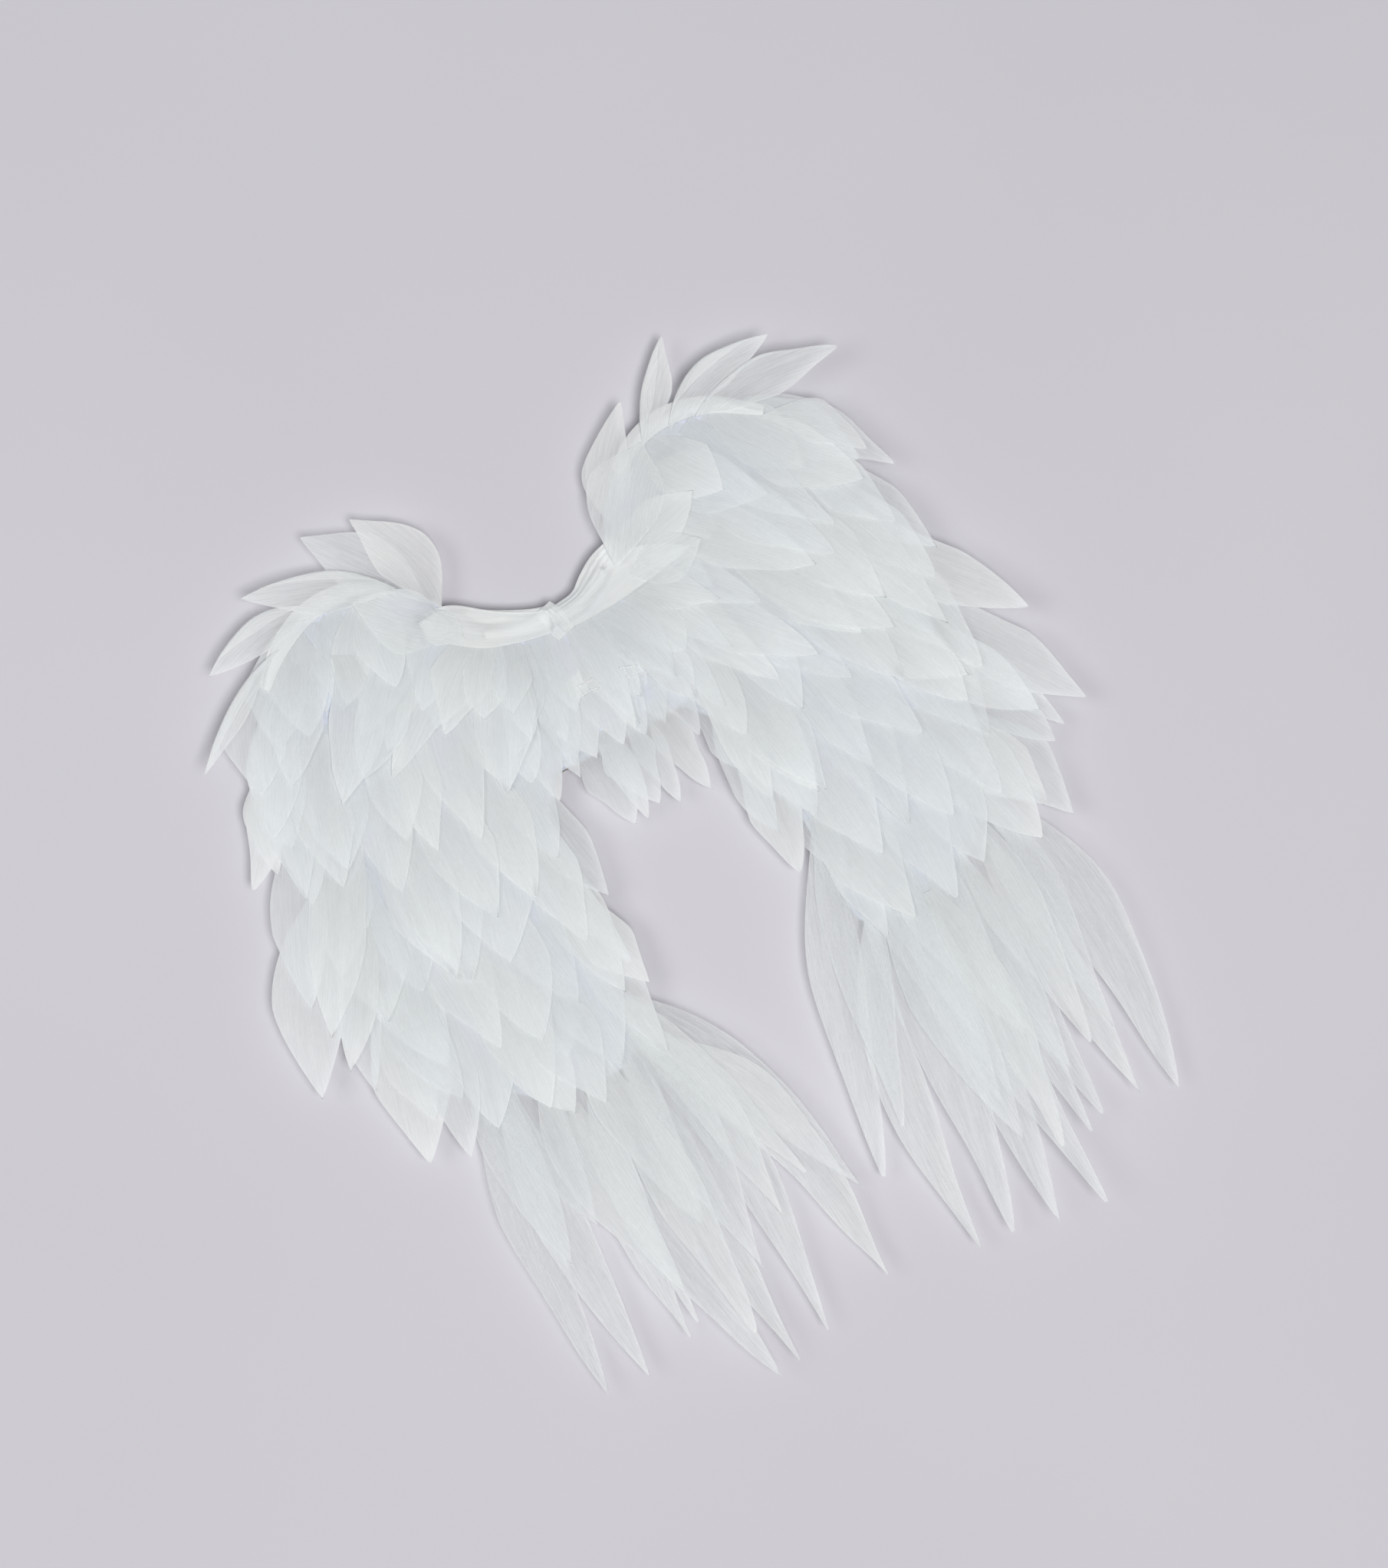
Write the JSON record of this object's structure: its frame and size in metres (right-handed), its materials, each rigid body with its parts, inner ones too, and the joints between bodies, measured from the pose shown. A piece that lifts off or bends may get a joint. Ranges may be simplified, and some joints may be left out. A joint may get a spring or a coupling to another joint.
{
  "type": "feathered costume wings",
  "caption": "Pair of white costume wings with rows of crinkled organza feathers on folding felt wings, a padded yoke and elastic shoulder loops.",
  "frame": {"origin": "middle of the back pad's lower face, the face that lies against the wearer's back", "axes": "+Y towards the neck opening along the wings' length, +Z out of the feather face, +X to the right seen from the feather face"},
  "size_m": [0.5528, 0.622, 0.0254],
  "materials": {
    "organza": "translucent crinkled organza",
    "organza_band": "folded organza band",
    "felt": "pressed felt",
    "tape": "woven cotton tape",
    "wire": "paper-covered spring wire",
    "sleeve": "crimped",
    "foam": "soft foam",
    "pad_cloth": "brushed cotton",
    "elastic": "woven elastic",
    "webbing": "flat webbing",
    "thread": "cotton thread"
  },
  "bodies": {
    "yoke": {"back_pad_cover": "pad_cloth", "back_pad_foam": "foam", "neck_binding": "organza_band", "strap_tabs": "webbing", "strap_tacks": "thread", "wire_sleeves": "sleeve", "yoke_felt": "felt", "yoke_fringe_feathers": "organza", "yoke_middle_feathers": "organza", "yoke_row_tapes": "tape", "yoke_upper_feathers": "organza", "yoke_wires": "wire"},
    "left_wing": {"left_greater_coverts": "organza", "left_leading_edge_feathers": "organza", "left_lesser_coverts": "organza", "left_lower_primaries": "organza", "left_marginal_coverts": "organza", "left_median_coverts": "organza", "left_row_tapes": "tape", "left_secondaries": "organza", "left_tertials": "organza", "left_upper_primaries": "organza", "left_wing_felt": "felt", "left_wing_wire": "wire"},
    "left_strap": {"left_strap": "elastic"},
    "right_wing": {"right_greater_coverts": "organza", "right_leading_edge_feathers": "organza", "right_lesser_coverts": "organza", "right_lower_primaries": "organza", "right_marginal_coverts": "organza", "right_median_coverts": "organza", "right_row_tapes": "tape", "right_secondaries": "organza", "right_tertials": "organza", "right_upper_primaries": "organza", "right_wing_felt": "felt", "right_wing_wire": "wire"},
    "right_strap": {"right_strap": "elastic"}
  },
  "joints": [
    {"name": "left_wing_fold", "type": "hinge", "parent": "yoke", "child": "left_wing", "pos_m": [-0.045, 0.03, 0.0034], "axis": [0, 1, 0], "range_deg": [0, 70]},
    {"name": "right_wing_fold", "type": "hinge", "parent": "yoke", "child": "right_wing", "pos_m": [0.045, 0.03, 0.0034], "axis": [0, -1, 0], "range_deg": [0, 70]},
    {"name": "left_strap_swing", "type": "hinge", "parent": "yoke", "child": "left_strap", "pos_m": [-0.0405, 0.027, 0.00085], "axis": [0, -1, 0], "range_deg": [0, 110]},
    {"name": "right_strap_swing", "type": "hinge", "parent": "yoke", "child": "right_strap", "pos_m": [0.0405, 0.027, 0.00085], "axis": [0, 1, 0], "range_deg": [0, 110]}
  ]
}
